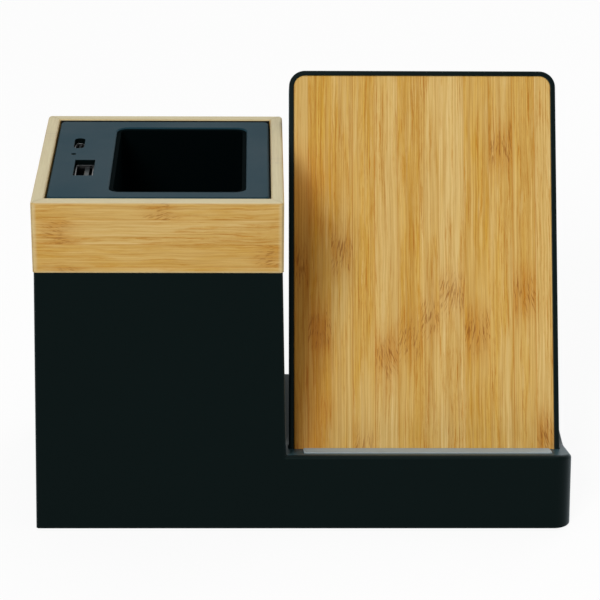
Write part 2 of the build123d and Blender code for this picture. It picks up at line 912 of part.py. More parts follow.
# Base: cover, feet, board, inlet and cable
def bottom_cover():
    x_low = left_x(cover_top_z) + wall + cover_gap
    x_high = base_right_x(cover_top_z) - wall - cover_gap
    y_low = front_y(cover_top_z) + wall + cover_gap
    y_high = rear_y(cover_top_z) - wall - cover_gap
    plate = block(x_low, x_high, y_low, y_high, cover_under_z, cover_top_z)
    edges = upright_edges(plate)
    middle = (x_low + x_high) / 2
    left_edges = [edge for edge in edges if edge.center().X < middle]
    plate = fillet(left_edges, cover_left_corner_radius)
    right_edges = [edge for edge in upright_edges(plate) if edge.center().X > x_high - overrun]
    plate = fillet(right_edges, base_corner_radius - wall - cover_gap)
    for x, y in cover_screw_places():
        plate -= post(x, y, cover_under_z - overrun, cover_top_z + overrun, clear_radius)
        plate -= post(x, y, cover_under_z, cover_under_z + counterbore_depth, counterbore_radius)
    for x, y in foot_places():
        plate -= post(x, y, cover_under_z, cover_under_z + foot_seat, foot_radius + foot_play)
    for x, y in main_post_places():
        pillar = post(x, y, cover_top_z, main_board_under_z, main_post_radius)
        plate += pillar
        depth = main_screw_depth + pilot_extra_depth
        plate -= flat_sided(x, y, main_board_under_z - depth, main_board_under_z,
                            small_pilot_radius)
    return plate


def rubber_feet():
    return group([post(x, y, 0, cover_under_z + foot_seat, foot_radius)
                  for x, y in foot_places()])


def bottom_cover_screws():
    z = cover_under_z + counterbore_depth
    return group([Pos(x, y, z) * cover_screw()
                  for x, y in cover_screw_places()])


def panel_screws():
    z = post_foot_z - lug_thickness
    return group([Pos(x, y, z) * lug_screw()
                  for x, y in panel_post_places()])


def hub_board_screws():
    return group([Pos(x, y, hub_board_under_z) * board_screw()
                  for x, y in hub_post_places()])


def main_board_screws():
    down = Rot(180, 0, 0)
    return group([Pos(x, y, main_board_top_z) * down * board_screw()
                  for x, y in main_post_places()])


def main_board():
    board = block(main_board_left, main_board_left + main_board_width, main_board_front,
                  main_board_front + main_board_length, main_board_under_z, main_board_top_z)
    for x, y in main_post_places():
        board -= post(x, y, main_board_under_z - overrun, main_board_top_z + overrun,
                      small_clear_radius)
    return board


def on_board(x_share, y_share):
    return (main_board_left + main_board_width * x_share,
            main_board_front + main_board_length * y_share)


def controller_chips():
    chips = []
    for side, share in zip(chip_lengths, chip_x_shares):
        x, y = on_board(share, chip_y_share)
        chips.append(block(x - side / 2, x + side / 2, y - side / 2, y + side / 2,
                           main_board_top_z, main_board_top_z + chip_height))
    return group(chips)


def power_inductor():
    x, y = on_board(inductor_x_share, inductor_y_share)
    outline = RectangleRounded(inductor_side, inductor_side, inductor_corner_radius)
    return Pos(x, y, main_board_top_z) * extrude(outline, inductor_height)


def tank_capacitors():
    x_first, y = on_board(capacitor_x_share, capacitor_y_share)
    row = []
    for i in range(capacitor_count):
        x = x_first + (i + 1) * capacitor_pitch
        row.append(block(x - capacitor_width / 2, x + capacitor_width / 2, y - capacitor_length / 2,
                         y + capacitor_length / 2, main_board_top_z,
                         main_board_top_z + capacitor_height))
    return group(row)


def inlet_shell():
    x, y, z = inlet_place()
    tube = slot_tube(usb_c_shell_length, usb_c_shell_width, usb_c_sheet, inlet_shell_length)
    return Pos(x, y, z) * (Rot(90, 0, 0) * tube)


def inlet_tongue():
    # Insulator at the closed end of the shell, with the blade reaching towards the mouth
    x, y, z = inlet_place()
    inner = SlotOverall(usb_c_shell_length - 2 * usb_c_sheet, usb_c_shell_width - 2 * usb_c_sheet)
    base = Pos(0, 0, inlet_shell_length - inlet_base_length) * extrude(inner, inlet_base_length)
    blade = extrude(Rectangle(usb_c_tongue_width, usb_c_tongue_thickness),
                    inlet_shell_length - tongue_depth)
    return Pos(x, y, z) * (Rot(90, 0, 0) * (base + Pos(0, 0, tongue_depth) * blade))


def hub_cable_plugs():
    y_low = cable_y - plug_length / 2
    y_high = cable_y + plug_length / 2
    upper = block(hub_post_x - plug_width / 2, hub_post_x + plug_width / 2, y_low, y_high,
                  hub_board_under_z - plug_height, hub_board_under_z)
    lower = block(main_board_left, main_board_left + plug_width, y_low, y_high,
                  main_board_top_z, main_board_top_z + plug_height)
    return group([upper, lower])


def hub_cable():
    # Straight down beside the pen cup, then under it to the main board
    points = [(hub_post_x, cable_y, hub_board_under_z - plug_height),
              (hub_post_x, cable_y, cable_run_z), (main_board_left, cable_y, cable_run_z)]
    return tube_along(points, cable_bend, cable_radius)


def all_pieces():
    pieces = {"main_housing": main_housing()}
    pieces.update(collar_boards())
    makers = (
        top_panel, pen_cup, panel_screws, hub_board, hub_board_screws, hub_chips, status_led,
        light_pipe, usb_a_shell, usb_a_tongue, usb_a_contacts, usb_c_shell, usb_c_tongue,
        usb_c_contacts, stand_frame, bamboo_face, stand_rear_cover, charging_coil, ferrite_sheet,
        coil_leads, stand_screws, ledge_pad, bottom_cover,
        bottom_cover_screws, rubber_feet, main_board, main_board_screws, controller_chips,
        power_inductor, tank_capacitors, inlet_shell, inlet_tongue, hub_cable, hub_cable_plugs)
    for maker in makers:
        pieces[maker.__name__] = maker()
    return pieces


def write_pieces():
    # The origin is on the desk, under the middle of the whole object's box
    pieces = all_pieces()
    boxes = [piece.bounding_box() for piece in pieces.values()]
    shift_x = -(min(box.min.X for box in boxes) + max(box.max.X for box in boxes)) / 2
    shift_y = -(min(box.min.Y for box in boxes) + max(box.max.Y for box in boxes)) / 2
    os.makedirs("parts", exist_ok=True)
    for name, piece in pieces.items():
        export_step(Pos(shift_x, shift_y, 0) * piece, f"parts/{name}.step")
    print(f"shift {shift_x:.4f} {shift_y:.4f}")


write_pieces()
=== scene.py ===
import math

import bpy
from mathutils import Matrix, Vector


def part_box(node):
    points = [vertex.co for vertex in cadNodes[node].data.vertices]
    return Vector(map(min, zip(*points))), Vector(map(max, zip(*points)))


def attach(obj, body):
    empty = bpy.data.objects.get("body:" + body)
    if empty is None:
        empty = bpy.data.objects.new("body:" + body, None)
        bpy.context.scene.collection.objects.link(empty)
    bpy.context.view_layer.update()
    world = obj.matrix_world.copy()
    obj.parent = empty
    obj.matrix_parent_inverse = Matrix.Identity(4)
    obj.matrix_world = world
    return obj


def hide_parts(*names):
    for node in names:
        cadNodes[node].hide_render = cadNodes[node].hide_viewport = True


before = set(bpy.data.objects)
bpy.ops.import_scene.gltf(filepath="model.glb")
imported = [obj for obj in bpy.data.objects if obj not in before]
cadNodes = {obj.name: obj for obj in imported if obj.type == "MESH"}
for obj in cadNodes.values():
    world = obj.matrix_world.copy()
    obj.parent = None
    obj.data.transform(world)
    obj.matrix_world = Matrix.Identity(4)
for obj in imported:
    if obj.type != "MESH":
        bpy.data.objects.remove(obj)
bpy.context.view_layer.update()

standAngle = math.radians(60)             # between the stand's face and the level


# Small helpers for building node trees

def addNode(tree, kind, inputs=None, **settings):
    node = tree.nodes.new(kind)
    for name, value in settings.items():
        setattr(node, name, value)
    for key, value in (inputs or {}).items():
        if isinstance(value, bpy.types.NodeSocket):
            tree.links.new(value, node.inputs[key])
        else:
            node.inputs[key].default_value = value
    return node


def feed(tree, node, **sockets):
    for label, value in sockets.items():
        tree.links.new(value, node.inputs[label.replace("_", " ")])


def calc(tree, operation, a, b=0.0, c=0.0):
    return addNode(tree, "ShaderNodeMath", {0: a, 1: b, 2: c}, operation=operation).outputs[0]


def product(tree, first, *others):
    for other in others:
        first = calc(tree, "MULTIPLY", first, other)
    return first


def swing(tree, noise, reach, centre):
    # Carries a value to and fro round its centre, by half the reach at most
    return calc(tree, "MULTIPLY_ADD", calc(tree, "SUBTRACT", noise, 0.5), reach, centre)


def smoothMask(tree, value, low, high, start=0.0, end=1.0):
    inputs = {"Value": value, "From Min": low, "From Max": high, "To Min": start, "To Max": end}
    return addNode(tree, "ShaderNodeMapRange", inputs, interpolation_type="SMOOTHSTEP").outputs[0]


def fade(tree, value, full, gone):
    return smoothMask(tree, value, full, gone, 1.0, 0.0)


def mixColour(tree, factor, first, second, blend="MIX"):
    inputs = {0: factor, 6: first, 7: second}
    return addNode(tree, "ShaderNodeMix", inputs, data_type="RGBA", blend_type=blend).outputs[2]


def splitXyz(tree, vector):
    return tuple(addNode(tree, "ShaderNodeSeparateXYZ", {0: vector}).outputs)


def joinXyz(tree, x, y, z):
    return addNode(tree, "ShaderNodeCombineXYZ", {0: x, 1: y, 2: z}).outputs[0]


def noiseValue(tree, vector, scale, detail=3.0, roughness=0.55):
    inputs = {"Vector": vector, "Scale": scale, "Detail": detail, "Roughness": roughness}
    return addNode(tree, "ShaderNodeTexNoise", inputs).outputs["Fac"]


def addInputs(tree, inputs):
    for label, kind, value in inputs:
        socket = tree.interface.new_socket(label, in_out="INPUT", socket_type="NodeSocket" + kind)
        if value is not None:
            socket.default_value = value


def startGroup(name, inputs, outputs):
    tree = bpy.data.node_groups.new(name, "ShaderNodeTree")
    addInputs(tree, inputs)
    for label, kind in outputs:
        tree.interface.new_socket(label, in_out="OUTPUT", socket_type="NodeSocket" + kind)
    return tree, addNode(tree, "NodeGroupInput").outputs, addNode(tree, "NodeGroupOutput")


# Shader groups shared by the materials

grainPatterns = {
    # waves per metre across and along the fibres, the noise's detail and roughness,
    # and where the mask begins and is full
    "fibres": {"waves": (1900.0, 14.0), "noise": (4.0, 0.65)},
    "slow": {"waves": (150.0, 11.0), "noise": (4.0, 0.65), "mask": (0.42, 0.6)},
    "streaks": {"waves": (560.0, 16.0), "noise": (5.0, 0.72), "mask": (0.46, 0.62)},
    "lines": {"waves": (2000.0, 36.0), "noise": (5.0, 0.75), "mask": (0.53, 0.61)},
    "palest": {"waves": (800.0, 26.0), "noise": (4.0, 0.6), "mask": (0.56, 0.68)},
    "dashes": {"waves": (3100.0, 160.0), "noise": (2.0, 0.6), "mask": (0.54, 0.66)},
    "ragged": {"waves": (1100.0, 50.0), "noise": (3.0, 0.6)},
}
grainLook = {
    "stripJitter": 0.5,                   # 0 makes all strips equally wide
    "stripShift": (37.0, 53.0),           # sets the strips' patterns apart
    "shortening": 1.3,                    # of all patterns along the fibres
    "driftWaves": (60.0, 30.0),           # slow wandering of the fibres, per metre
    "driftReach": 0.0016,
    "softDetail": 2.0,                    # of the noise that bends the fibres and breaks the ticks
    "lineShares": (0.75, 0.25),           # of the lines in the slow patches, and everywhere
    "nodeShift": 9.7,
    "raggedReach": 0.02,
    "glowReach": 0.015,                   # metres from the growth node's middle
    "glowStrips": (0.1, 0.8, 0.5, 1.0),
    "tickReach": (0.001, 0.009),
    "tickFan": 0.4,
    "tickLean": (0.6, -0.3),
    "tickWaves": (2900.0, 260.0),
    "tickShift": 11.0,
    "tickMask": (0.5, 0.64),
    "stripWarmth": 0.6,
    "streakWarmth": 0.2,
    "slowWarmth": 0.3,
    "palestShare": 0.5,
    "paleStrips": (0.6, 0.95, 0.0, 0.4),
    "lineShare": 0.85,
    "dashShare": 0.3,
    "blaze": (0.3, 0.42),                 # the glow's share in a streak, and everywhere
    "tickShare": 0.76,
    "glueWidth": 0.035,                   # share of a strip
    "glueStrips": (0.2, 1.0, 0.22, 0.95),
    "shade": (0.3, 0.7, 0.8, 1.12),
    "shadePowers": (0.8, 1.25, 2.2),      # red, green and blue darken unequally
    "tickDepth": 0.5,
    "glueDepth": 0.6,
    "roughness": (0.25, 0.75, 0.55, 0.42),
}


def makeBambooGrain():
    # Glued strips side by side, each with its own tone, fibres and growth nodes.
    # The vector runs across the strips in X, along the fibres in Y and through the board in Z.
    tree, given, result = startGroup("bambooGrain", [
        ("Vector", "Vector", None), ("Strip Width", "Float", 0.007),
        ("Node Spacing", "Float", 0.15), ("Seed", "Float", 0.0), ("Pale", "Color", None),
        ("Warm", "Color", None), ("Streak", "Color", None), ("Node", "Color", None),
        ("Dark", "Color", None)],
        [("Color", "Color"), ("Roughness", "Float"), ("Height", "Float")])
    look = grainLook
    across, along, through = splitXyz(tree, given["Vector"])
    position = calc(tree, "ADD", calc(tree, "DIVIDE", across, given["Strip Width"]), given["Seed"])
    cells = {"W": position, "Scale": 1.0, "Randomness": look["stripJitter"]}
    strip = addNode(tree, "ShaderNodeTexVoronoi", cells, voronoi_dimensions="1D").outputs
    joint = addNode(tree, "ShaderNodeTexVoronoi", cells, voronoi_dimensions="1D",
                    feature="DISTANCE_TO_EDGE").outputs["Distance"]
    chance = addNode(tree, "ShaderNodeSeparateColor", {0: strip["Color"]}).outputs
    local = calc(tree, "SUBTRACT", position, strip["W"])
    drift = joinXyz(tree, product(tree, across, look["driftWaves"][0]),
                    product(tree, along, look["driftWaves"][1]), chance[0])
    drift = noiseValue(tree, drift, 1.0, look["softDetail"])
    wavering = swing(tree, drift, look["driftReach"], across)

    def stretched(acrossWaves, alongWaves):
        # Every strip reads another part of the pattern, so the fibres stop at its joints
        shifts = [product(tree, chance[i], shift) for i, shift in enumerate(look["stripShift"])]
        x = calc(tree, "MULTIPLY_ADD", wavering, acrossWaves, shifts[0])
        y = calc(tree, "MULTIPLY_ADD", along, alongWaves * look["shortening"], shifts[1])
        return joinXyz(tree, x, y, product(tree, through, acrossWaves))

    def pattern(name):
        shape = grainPatterns[name]
        value = noiseValue(tree, stretched(*shape["waves"]), 1.0, *shape["noise"])
        return smoothMask(tree, value, *shape["mask"]) if "mask" in shape else value

    fibres, slow, streaks = pattern("fibres"), pattern("slow"), pattern("streaks")
    lines = calc(tree, "MULTIPLY_ADD", slow, *look["lineShares"])
    lines = product(tree, pattern("lines"), lines)
    dashes = product(tree, pattern("dashes"), slow)

    # Growth nodes: a ragged orange glow, with short dark fibres that lean out of it
    turns = calc(tree, "ADD", calc(tree, "DIVIDE", along, given["Node Spacing"]),
                 product(tree, chance[2], look["nodeShift"]))
    offset = calc(tree, "SUBTRACT", calc(tree, "FRACT", turns), 0.5)
    offset = product(tree, offset, given["Node Spacing"])
    distance = swing(tree, pattern("ragged"), look["raggedReach"], offset)
    distance = calc(tree, "ABSOLUTE", distance)
    glow = product(tree, fade(tree, distance, 0.0, look["glowReach"]),
                   smoothMask(tree, chance[1], *look["glowStrips"]))
    fan = product(tree, offset, local, look["tickFan"])
    lean = calc(tree, "MULTIPLY_ADD", chance[1], *look["tickLean"])
    lean = calc(tree, "ADD", across, calc(tree, "MULTIPLY_ADD", offset, lean, fan))
    fanned = joinXyz(tree, product(tree, lean, look["tickWaves"][0]),
                     product(tree, along, look["tickWaves"][1]),
                     product(tree, chance[2], look["tickShift"]))
    ticks = noiseValue(tree, fanned, 1.0, look["softDetail"])
    ticks = product(tree, smoothMask(tree, ticks, *look["tickMask"]),
                    fade(tree, distance, *look["tickReach"]))

    # Colours, laid over the pale cane one by one
    warmth = calc(tree, "ADD", product(tree, streaks, look["streakWarmth"]),
                  product(tree, slow, look["slowWarmth"]))
    warmth = calc(tree, "ADD", product(tree, chance[0], look["stripWarmth"]), warmth)
    glue = product(tree, fade(tree, joint, 0.0, look["glueWidth"]),
                   smoothMask(tree, chance[2], *look["glueStrips"]))
    colour = given["Pale"]
    for share, tone in (
            (warmth, "Warm"),
            (product(tree, pattern("palest"), look["palestShare"]), "Pale"),
            (smoothMask(tree, chance[1], *look["paleStrips"]), "Pale"),
            (product(tree, lines, look["lineShare"]), "Streak"),
            (product(tree, dashes, look["dashShare"]), "Node"),
            (product(tree, glow, calc(tree, "MULTIPLY_ADD", streaks, *look["blaze"])), "Node"),
            (product(tree, ticks, look["tickShare"]), "Dark"),
            (glue, "Streak")):
        colour = mixColour(tree, share, colour, given[tone])
    shade = smoothMask(tree, fibres, *look["shade"])
    shade = joinXyz(tree, *(calc(tree, "POWER", shade, power) for power in look["shadePowers"]))
    height = calc(tree, "SUBTRACT", fibres, product(tree, ticks, look["tickDepth"]))
    height = calc(tree, "SUBTRACT", height, product(tree, glue, look["glueDepth"]))
    feed(tree, result, Color=mixColour(tree, 1.0, colour, shade, "MULTIPLY"), Height=height,
         Roughness=smoothMask(tree, fibres, *look["roughness"]))
    return tree


mouldGrain = {
    "fineShare": 0.6,                     # of the fine noise beside the pits
    "toneWaves": 38.0,                    # per metre
    "toneNoise": (4.0, 0.6),
}


def makeMouldedTexture():
    # Spark-eroded mould grain: fine pits over a faint, wide unevenness of tone
    tree, given, result = startGroup("mouldedTexture", [
        ("Vector", "Vector", None), ("Grain Size", "Float", 0.0004)],
        [("Height", "Float"), ("Tone", "Float")])
    waves = calc(tree, "DIVIDE", 1.0, given["Grain Size"])
    pits = addNode(tree, "ShaderNodeTexVoronoi", {"Vector": given["Vector"], "Scale": waves},
                   feature="SMOOTH_F1").outputs["Distance"]
    fine = product(tree, noiseValue(tree, given["Vector"], waves), mouldGrain["fineShare"])
    tone = noiseValue(tree, given["Vector"], mouldGrain["toneWaves"], *mouldGrain["toneNoise"])
    feed(tree, result, Height=calc(tree, "ADD", pits, fine), Tone=tone)
    return tree


wearLook = {
    "samples": 4,
    "edge": (0.8, 0.995),                 # cosine between the flat and the rounded normal
    "patchWaves": 260.0,
    "patches": (0.35, 0.65),
}


def makeEdgeWear():
    # Finds the piece's sharp edges and puts out a softened normal and a mask of where hands rub
    tree, given, result = startGroup("edgeWear", [
        ("Radius", "Float", 0.0003), ("Vector", "Vector", None)],
        [("Mask", "Float"), ("Normal", "Vector")])
    soft = addNode(tree, "ShaderNodeBevel", {"Radius": given["Radius"]},
                   samples=wearLook["samples"]).outputs[0]
    flat = addNode(tree, "ShaderNodeNewGeometry").outputs["Normal"]
    alike = addNode(tree, "ShaderNodeVectorMath", {0: soft, 1: flat}, operation="DOT_PRODUCT")
    edge = fade(tree, alike.outputs["Value"], *wearLook["edge"])
    patches = noiseValue(tree, given["Vector"], wearLook["patchWaves"])
    patches = smoothMask(tree, patches, *wearLook["patches"])
    feed(tree, result, Mask=product(tree, edge, patches), Normal=soft)
    return tree


brushLook = {
    "lineNoise": (3.0, 0.7),
    "blotchWaves": 420.0,
}


def makeBrushedLines():
    # Drawn sheet and turned heads: fine lines along one direction
    tree, given, result = startGroup("brushedLines", [
        ("Vector", "Vector", None), ("Stretch", "Vector", (1, 1, 1))],
        [("Lines", "Float"), ("Blotches", "Float")])
    drawn = addNode(tree, "ShaderNodeVectorMath", {0: given["Vector"], 1: given["Stretch"]},
                    operation="MULTIPLY").outputs[0]
    feed(tree, result, Lines=noiseValue(tree, drawn, 1.0, *brushLook["lineNoise"]),
         Blotches=noiseValue(tree, given["Vector"], brushLook["blotchWaves"]))
    return tree


bambooGrain = makeBambooGrain()
mouldedTexture = makeMouldedTexture()
edgeWear = makeEdgeWear()
brushedLines = makeBrushedLines()
print("shader groups ready:", len(bpy.data.node_groups))


# Materials

def emptyTree(owner):
    owner.use_nodes = True
    owner.node_tree.nodes.clear()
    return owner.node_tree


def startMaterial(name, **plain):
    # Values that are the same all over go straight onto the shader's own sockets
    material = bpy.data.materials.new(name)
    tree = emptyTree(material)
    shader = addNode(tree, "ShaderNodeBsdfPrincipled")
    addNode(tree, "ShaderNodeOutputMaterial", {"Surface": shader.outputs[0]})
    for label, value in plain.items():
        shader.inputs[label.replace("_", " ")].default_value = value
    return material, tree, shader


def objectVector(tree):
    return addNode(tree, "ShaderNodeTexCoord").outputs["Object"]


def faceUp(tree):
    # 1 on level faces that look up, 0 on upright walls
    normal = addNode(tree, "ShaderNodeNewGeometry").outputs["Normal"]
    return splitXyz(tree, normal)[2]


def useGroup(tree, group, **inputs):
    named = {label.replace("_", " "): value for label, value in inputs.items()}
    return addNode(tree, "ShaderNodeGroup", named, node_tree=group).outputs


def bumped(tree, height, strength, distance, normal):
    inputs = {"Height": height, "Strength": strength, "Distance": distance, "Normal": normal}
    return addNode(tree, "ShaderNodeBump", inputs).outputs[0]


mouldedLooks = {
    # base colour, colour where it is rubbed,
    # roughness range, index of refraction, grain and bump in metres
    "housingPlastic": ((0.0001, 0.0022, 0.0020, 1), (0.006, 0.013, 0.013, 1),
                       (0.34, 0.38), 1.165, 0.00035, 0.00002),
    "linerPlastic": ((0.001, 0.003, 0.0034, 1), (0.003, 0.006, 0.0065, 1),
                     (0.4, 0.5), 1.02, 0.0003, 0.00002),
    "panelPlastic": ((0.011, 0.039, 0.055, 1), (0.04, 0.075, 0.09, 1),
                     (0.36, 0.46), 1.12, 0.00022, 0.00001),
    "stripSilicone": ((0.38, 0.45, 0.48, 1), (0.48, 0.55, 0.58, 1),
                      (0.6, 0.75), 1.4, 0.0003, 0.00002),
    "footRubber": ((0.012, 0.012, 0.013, 1), (0.03, 0.03, 0.03, 1),
                   (0.7, 0.85), 1.3, 0.0005, 0.00004),
    "socketMoulding": ((0.012, 0.013, 0.014, 1), (0.03, 0.03, 0.03, 1),
                       (0.3, 0.42), 1.4, 0.00015, 0.00001),
    "chipMoulding": ((0.014, 0.014, 0.015, 1), (0.05, 0.05, 0.05, 1),
                     (0.5, 0.65), 1.4, 0.00015, 0.00001),
    "cableJacket": ((0.012, 0.012, 0.013, 1), (0.03, 0.03, 0.03, 1),
                    (0.4, 0.55), 1.4, 0.0004, 0.00002),
    "plugNylon": ((0.62, 0.60, 0.52, 1), (0.75, 0.74, 0.68, 1),
                  (0.4, 0.5), 1.45, 0.0003, 0.00001),
    "ferriteCeramic": ((0.03, 0.03, 0.033, 1), (0.09, 0.09, 0.09, 1),
                       (0.55, 0.75), 1.45, 0.0002, 0.00002),
    "capacitorCeramic": ((0.36, 0.25, 0.13, 1), (0.55, 0.5, 0.42, 1),
                         (0.35, 0.5), 1.45, 0.0002, 0.00001),
    "boardLacquer": ((0.006, 0.055, 0.022, 1), (0.05, 0.16, 0.06, 1),
                     (0.25, 0.4), 1.45, 0.0009, 0.00001),
}
mouldedShared = {
    "specularTint": (0.72, 1, 1, 1),
    "wearRadius": 0.0004,
    "wearShare": 0.5,
    "darkest": 0.8,                       # share of the base colour in the darkest patches
    "toneSpan": (0.3, 0.7),
    "bump": 0.5,
}
housingSheen = {                          # the cool glint along its rounded corners
    "Sheen_Weight": 0.12,
    "Sheen_Roughness": 0.4,
    "Sheen_Tint": (0.35, 0.8, 1, 1),
}
panelWallShade = {                            # painted shade: the cut-outs' walls, made darker than the grained top
    "slope": (0.2, 0.5),
    "colour": (0.001, 0.003, 0.003, 1),
}


def mouldedMaterial(name):
    base, rubbed, roughness, refraction, grain, depth = mouldedLooks[name]
    shared = mouldedShared
    sheen = housingSheen if name == "housingPlastic" else {}
    material, tree, shader = startMaterial(name, IOR=refraction,
                                           Specular_Tint=shared["specularTint"], **sheen)
    vector = objectVector(tree)
    texture = useGroup(tree, mouldedTexture, Vector=vector, Grain_Size=grain)
    wear = useGroup(tree, edgeWear, Radius=shared["wearRadius"], Vector=vector)
    darker = [value * shared["darkest"] for value in base[:3]] + [1]
    colour = mixColour(tree, texture["Tone"], darker, base)
    colour = mixColour(tree, product(tree, wear["Mask"], shared["wearShare"]), colour, rubbed)
    # Painted shade on the panel's upright walls, round its cut-outs
    if name == "panelPlastic":
        wall = fade(tree, faceUp(tree), *panelWallShade["slope"])
        colour = mixColour(tree, wall, colour, panelWallShade["colour"])
    feed(tree, shader, Base_Color=colour,
         Roughness=smoothMask(tree, texture["Tone"], *shared["toneSpan"], *roughness),
         Normal=bumped(tree, texture["Height"], shared["bump"], depth, wear["Normal"]))
    return material


metalLooks = {
    # base colour, darker blotches, roughness range, stretch of the drawn lines
    "socketSteel": ((0.20, 0.205, 0.21, 1), (0.12, 0.12, 0.125, 1), (0.25, 0.42),
                    (900, 900, 5000)),
    "socketNickel": ((0.5, 0.51, 0.52, 1), (0.3, 0.3, 0.31, 1), (0.22, 0.38), (900, 900, 5000)),
    "inletSteel": ((0.3, 0.305, 0.31, 1), (0.18, 0.18, 0.185, 1), (0.25, 0.42),
                   (900, 5000, 900)),
    "screwZinc": ((0.56, 0.57, 0.6, 1), (0.35, 0.36, 0.38, 1), (0.25, 0.45), (2500, 2500, 6000)),
    "contactGold": ((0.83, 0.58, 0.22, 1), (0.6, 0.38, 0.12, 1), (0.2, 0.35), (3000, 3000, 500)),
    "coilCopper": ((0.72, 0.30, 0.12, 1), (0.42, 0.14, 0.05, 1), (0.22, 0.38),
                   (1500, 1500, 1500)),
}
metalShared = {
    "wearRadius": 0.0001,
    "blotches": (0.45, 0.75, 0.0, 0.6),
    "lineSpan": (0.3, 0.7),
    "bump": 0.3,
    "bumpDepth": 0.00001,
}
socketMouths = {
    # shell, the axis that its mouth points along
    "socketSteel": ("usb_a_shell", 2),
    "socketNickel": ("usb_c_shell", 2),
    "inletSteel": ("inlet_shell", 1),
}
socketDeep = {                            # hardly any light comes back from deep inside
    "fall": (0.0003, 0.0016, 0.0, 0.9),   # metres in from the mouth, shares of the colour
    "colour": (0.01, 0.011, 0.012, 1),
}


def metalMaterial(name):
    base, blotch, roughness, stretch = metalLooks[name]
    shared = metalShared
    material, tree, shader = startMaterial(name, Metallic=1.0)
    vector = objectVector(tree)
    lines = useGroup(tree, brushedLines, Vector=vector, Stretch=stretch)
    wear = useGroup(tree, edgeWear, Radius=shared["wearRadius"], Vector=vector)
    blotches = smoothMask(tree, lines["Blotches"], *shared["blotches"])
    colour = mixColour(tree, blotches, base, blotch)
    if name in socketMouths:
        node, axis = socketMouths[name]
        place = splitXyz(tree, vector)[axis]
        inward = calc(tree, "SUBTRACT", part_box(node)[1][axis], place)
        deep = smoothMask(tree, inward, *socketDeep["fall"])
        colour = mixColour(tree, deep, colour, socketDeep["colour"])
    bump = bumped(tree, lines["Lines"], shared["bump"], shared["bumpDepth"], wear["Normal"])
    feed(tree, shader, Base_Color=colour, Normal=bump,
         Roughness=smoothMask(tree, lines["Lines"], *shared["lineSpan"], *roughness))
    return material


bambooTones = {
    "Pale": (0.68, 0.48, 0.185, 1),
    "Warm": (0.555, 0.295, 0.026, 1),
    "Streak": (0.45, 0.175, 0.004, 1),
    "Node": (0.47, 0.175, 0.003, 1),
    "Dark": (0.27, 0.09, 0.003, 1),
}
bambooShared = {
    "refraction": 1.25,
    "nodeSpacing": 0.135,
    "bump": 0.35,
    "bumpDepth": 0.00004,
}


def bambooMaterial(name, look, placePattern, seed, finish):
    shared = bambooShared
    material, tree, shader = startMaterial(name, IOR=shared["refraction"])
    vector = objectVector(tree)
    grain = useGroup(tree, bambooGrain, Vector=placePattern(tree, vector),
                     Strip_Width=look["stripWidth"], Node_Spacing=shared["nodeSpacing"],
                     Seed=seed, **bambooTones)
    wear = useGroup(tree, edgeWear, Radius=look["wearRadius"], Vector=vector)
    worn = product(tree, wear["Mask"], look["wearShare"])
    colour = finish(tree, mixColour(tree, worn, grain["Color"], look["wornColour"]), vector)
    feed(tree, shader, Base_Color=colour, Roughness=grain["Roughness"],
         Normal=bumped(tree, grain["Height"], shared["bump"], shared["bumpDepth"],
                       wear["Normal"]))
    return material


plateLook = {
    "stripWidth": 0.0075,
    "seed": 5.67,
    "wearRadius": 0.0005,
    "wearShare": 0.35,
    "wornColour": bambooTones["Pale"],
    # From here down: the painted shadow that the tower casts on the board's left edge
    "paintedShadeEdge": (0.002, 0.017),           # metres in from the board's left edge, full and none
    "paintedShadeShare": 0.85,
    "paintedShadeTint": (0.82, 0.58, 0.22, 1),
    "paintedShadeTop": (0.035, 0.015),            # metres below the board's top, full and none
    "swingWaves": 90.0,
    "swingReach": 0.008,
}


def upTheStand(tree, vector):
    # Turned by the stand's lean, so that the strips run up its face
    inputs = {"Vector": vector, "Rotation": (-standAngle, 0, 0)}
    return addNode(tree, "ShaderNodeMapping", inputs).outputs[0]


def paintShadeOnLeftEdge(tree, colour, vector):
    # Painted shade: the tower's shadow on the board's left edge, laid in as a darker, warmer band
    # that fades out near the board's top
    look = plateLook
    low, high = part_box("bamboo_face")
    split = splitXyz(tree, vector)
    uneven = noiseValue(tree, upTheStand(tree, vector), look["swingWaves"])
    reach = calc(tree, "SUBTRACT", split[0], low.x)
    reach = swing(tree, uneven, look["swingReach"], reach)
    paintedShade = smoothMask(tree, reach, *look["paintedShadeEdge"], look["paintedShadeShare"], 0.0)
    lower = fade(tree, split[2], *(high.z - drop for drop in look["paintedShadeTop"]))
    paintedShade = product(tree, paintedShade, lower)
    return mixColour(tree, paintedShade, colour, look["paintedShadeTint"], "MULTIPLY")


collarLook = {
    "stripWidth": 0.0085,
    "seed": 21.0,
    "seedStep": 7,
    "shortening": 1.5,                    # of its pattern along the fibres
    "wearRadius": 0.0006,
    "wearShare": 0.8,
    "wornColour": (0.68, 0.58, 0.30, 1),
    "calm": 0.22,                         # share of its mean colour, because its grain is quieter
    "meanColour": (0.63, 0.375, 0.09, 1),
    "tone": (0.88, 0.87, 0.87, 1),
    "paintedTopLight": (0.64, 0.65, 0.48, 1),
    "paintedTopSlope": (0.4, 0.9, 0.0, 0.6),  # painted highlight: the top edges made paler and greyer where they face up
    "wallSlope": (0.3, 0.5),
    "mitre": (0.00003, 0.0002, 0.18, 0.0),
    "cornerBand": (0.0005, 0.0017),       # metres from the corner, full and none
    "levelBand": (0.0002, 0.0009),        # metres from the top or foot
    "bandPatches": (0.3, 0.6, 0.7, 1.0),
    "bandWaves": 160.0,
    "bandShare": 0.68,
    "bandColour": (0.575, 0.46, 0.24, 1),
    "boardInside": 0.0039,                # metres from the collar's outside to its inside faces
    "paintedGapShade": (0.006, 0.006, 0.005, 1),    # painted shade: those inside faces, down in the narrow gap by the panel, made near black
}
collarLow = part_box("collar_front")[0]
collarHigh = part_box("collar_back")[1]


